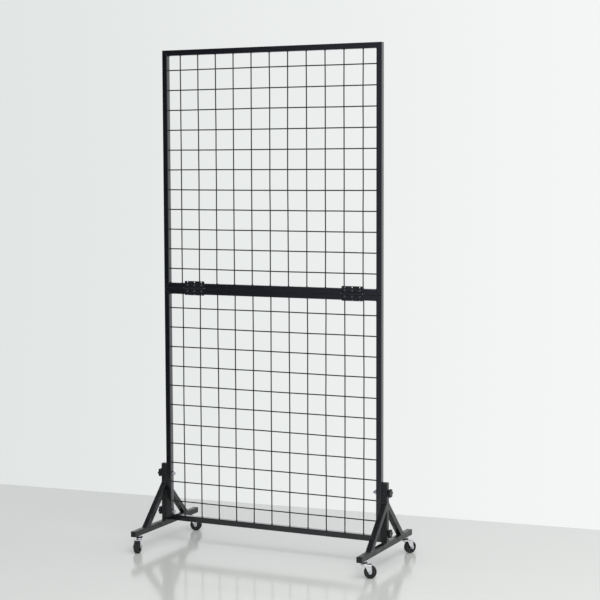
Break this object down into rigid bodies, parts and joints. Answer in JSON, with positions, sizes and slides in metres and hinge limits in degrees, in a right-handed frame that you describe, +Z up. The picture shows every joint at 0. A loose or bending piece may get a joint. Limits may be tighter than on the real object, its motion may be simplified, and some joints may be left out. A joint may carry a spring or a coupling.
{
  "type": "folding grid display panel",
  "caption": "Folding wire grid display panel: two hinged square grid frames bolted with hand knobs to A-shaped feet on swivel casters.",
  "frame": {"origin": "on the floor, under the middle of the panels", "axes": "+Z up the panels, +X to the right along the panels, +Y to the rear"},
  "size_m": [0.8814, 0.4274, 1.676],
  "materials": {
    "frame_black": "satin powder coat",
    "grid_wire": "satin powder coat",
    "hinge_black": "satin paint",
    "zinc": "bright zinc plate",
    "race_black": "black oxide",
    "cap_plastic": "fine grain",
    "knob_plastic": "fine grain",
    "hub": "moulded",
    "tyre": "smooth rubber"
  },
  "bodies": {
    "base": {"lower_left_upright": "frame_black", "lower_right_upright": "frame_black", "lower_top_rail": "frame_black", "lower_bottom_rail": "frame_black", "lower_vertical_wires": "grid_wire", "lower_horizontal_wires": "grid_wire", "left_hinge_lower_leaf": "hinge_black", "left_hinge_pin": "zinc", "right_hinge_lower_leaf": "hinge_black", "right_hinge_pin": "zinc", "lower_hinge_screws": "hinge_black", "left_foot_post": "frame_black", "left_foot_base": "frame_black", "left_front_brace": "frame_black", "left_rear_brace": "frame_black", "left_foot_caps": "cap_plastic", "right_foot_post": "frame_black", "right_foot_base": "frame_black", "right_front_brace": "frame_black", "right_rear_brace": "frame_black", "right_foot_caps": "cap_plastic", "knob_nuts": "zinc", "front_left_stem": "zinc", "front_left_race": "race_black", "front_right_stem": "zinc", "front_right_race": "race_black", "rear_left_stem": "zinc", "rear_left_race": "race_black", "rear_right_stem": "zinc", "rear_right_race": "race_black"},
    "upper_panel": {"upper_left_upright": "frame_black", "upper_right_upright": "frame_black", "upper_top_rail": "frame_black", "upper_bottom_rail": "frame_black", "upper_vertical_wires": "grid_wire", "upper_horizontal_wires": "grid_wire", "left_hinge_upper_leaf": "hinge_black", "right_hinge_upper_leaf": "hinge_black", "upper_hinge_screws": "hinge_black"},
    "left_upper_knob": {"left_upper_knob": "knob_plastic"},
    "left_lower_knob": {"left_lower_knob": "knob_plastic"},
    "right_upper_knob": {"right_upper_knob": "knob_plastic"},
    "right_lower_knob": {"right_lower_knob": "knob_plastic"},
    "front_left_swivel": {"front_left_fork": "zinc", "front_left_axle": "zinc"},
    "front_left_wheel": {"front_left_hub": "hub", "front_left_tyre": "tyre"},
    "front_right_swivel": {"front_right_fork": "zinc", "front_right_axle": "zinc"},
    "front_right_wheel": {"front_right_hub": "hub", "front_right_tyre": "tyre"},
    "rear_left_swivel": {"rear_left_fork": "zinc", "rear_left_axle": "zinc"},
    "rear_left_wheel": {"rear_left_hub": "hub", "rear_left_tyre": "tyre"},
    "rear_right_swivel": {"rear_right_fork": "zinc", "rear_right_axle": "zinc"},
    "rear_right_wheel": {"rear_right_hub": "hub", "rear_right_tyre": "tyre"}
  },
  "joints": [
    {"name": "panel_fold", "type": "hinge", "parent": "base", "child": "upper_panel", "pos_m": [0, -0.0136, 0.8786], "axis": [1, 0, 0], "range_deg": [0, 180]},
    {"name": "left_upper_knob_turn", "type": "hinge", "parent": "base", "child": "left_upper_knob", "pos_m": [-0.41, 0, 0.237], "axis": [-1, 0, 0], "continuous": true},
    {"name": "left_lower_knob_turn", "type": "hinge", "parent": "base", "child": "left_lower_knob", "pos_m": [-0.41, 0, 0.105], "axis": [-1, 0, 0], "continuous": true},
    {"name": "right_upper_knob_turn", "type": "hinge", "parent": "base", "child": "right_upper_knob", "pos_m": [0.41, 0, 0.237], "axis": [1, 0, 0], "continuous": true},
    {"name": "right_lower_knob_turn", "type": "hinge", "parent": "base", "child": "right_lower_knob", "pos_m": [0.41, 0, 0.105], "axis": [1, 0, 0], "continuous": true},
    {"name": "front_left_swivel_turn", "type": "hinge", "parent": "base", "child": "front_left_swivel", "pos_m": [-0.41, -0.174, 0.056], "axis": [0, 0, 1], "continuous": true},
    {"name": "front_left_wheel_spin", "type": "hinge", "parent": "front_left_swivel", "child": "front_left_wheel", "pos_m": [-0.40516, -0.19341, 0.02], "axis": [0.9703, 0.2419, 0], "continuous": true},
    {"name": "front_right_swivel_turn", "type": "hinge", "parent": "base", "child": "front_right_swivel", "pos_m": [0.41, -0.174, 0.056], "axis": [0, 0, 1], "continuous": true},
    {"name": "front_right_wheel_spin", "type": "hinge", "parent": "front_right_swivel", "child": "front_right_wheel", "pos_m": [0.42854, -0.16651, 0.02], "axis": [-0.3746, 0.9272, 0], "continuous": true},
    {"name": "rear_left_swivel_turn", "type": "hinge", "parent": "base", "child": "rear_left_swivel", "pos_m": [-0.41, 0.174, 0.056], "axis": [0, 0, 1], "continuous": true},
    {"name": "rear_left_wheel_spin", "type": "hinge", "parent": "rear_left_swivel", "child": "rear_left_wheel", "pos_m": [-0.39077, 0.17951, 0.02], "axis": [-0.2756, 0.9613, 0], "continuous": true},
    {"name": "rear_right_swivel_turn", "type": "hinge", "parent": "base", "child": "rear_right_swivel", "pos_m": [0.41, 0.174, 0.056], "axis": [0, 0, 1], "continuous": true},
    {"name": "rear_right_wheel_spin", "type": "hinge", "parent": "rear_right_swivel", "child": "rear_right_wheel", "pos_m": [0.42, 0.19132, 0.02], "axis": [-0.866, 0.5, 0], "continuous": true}
  ]
}
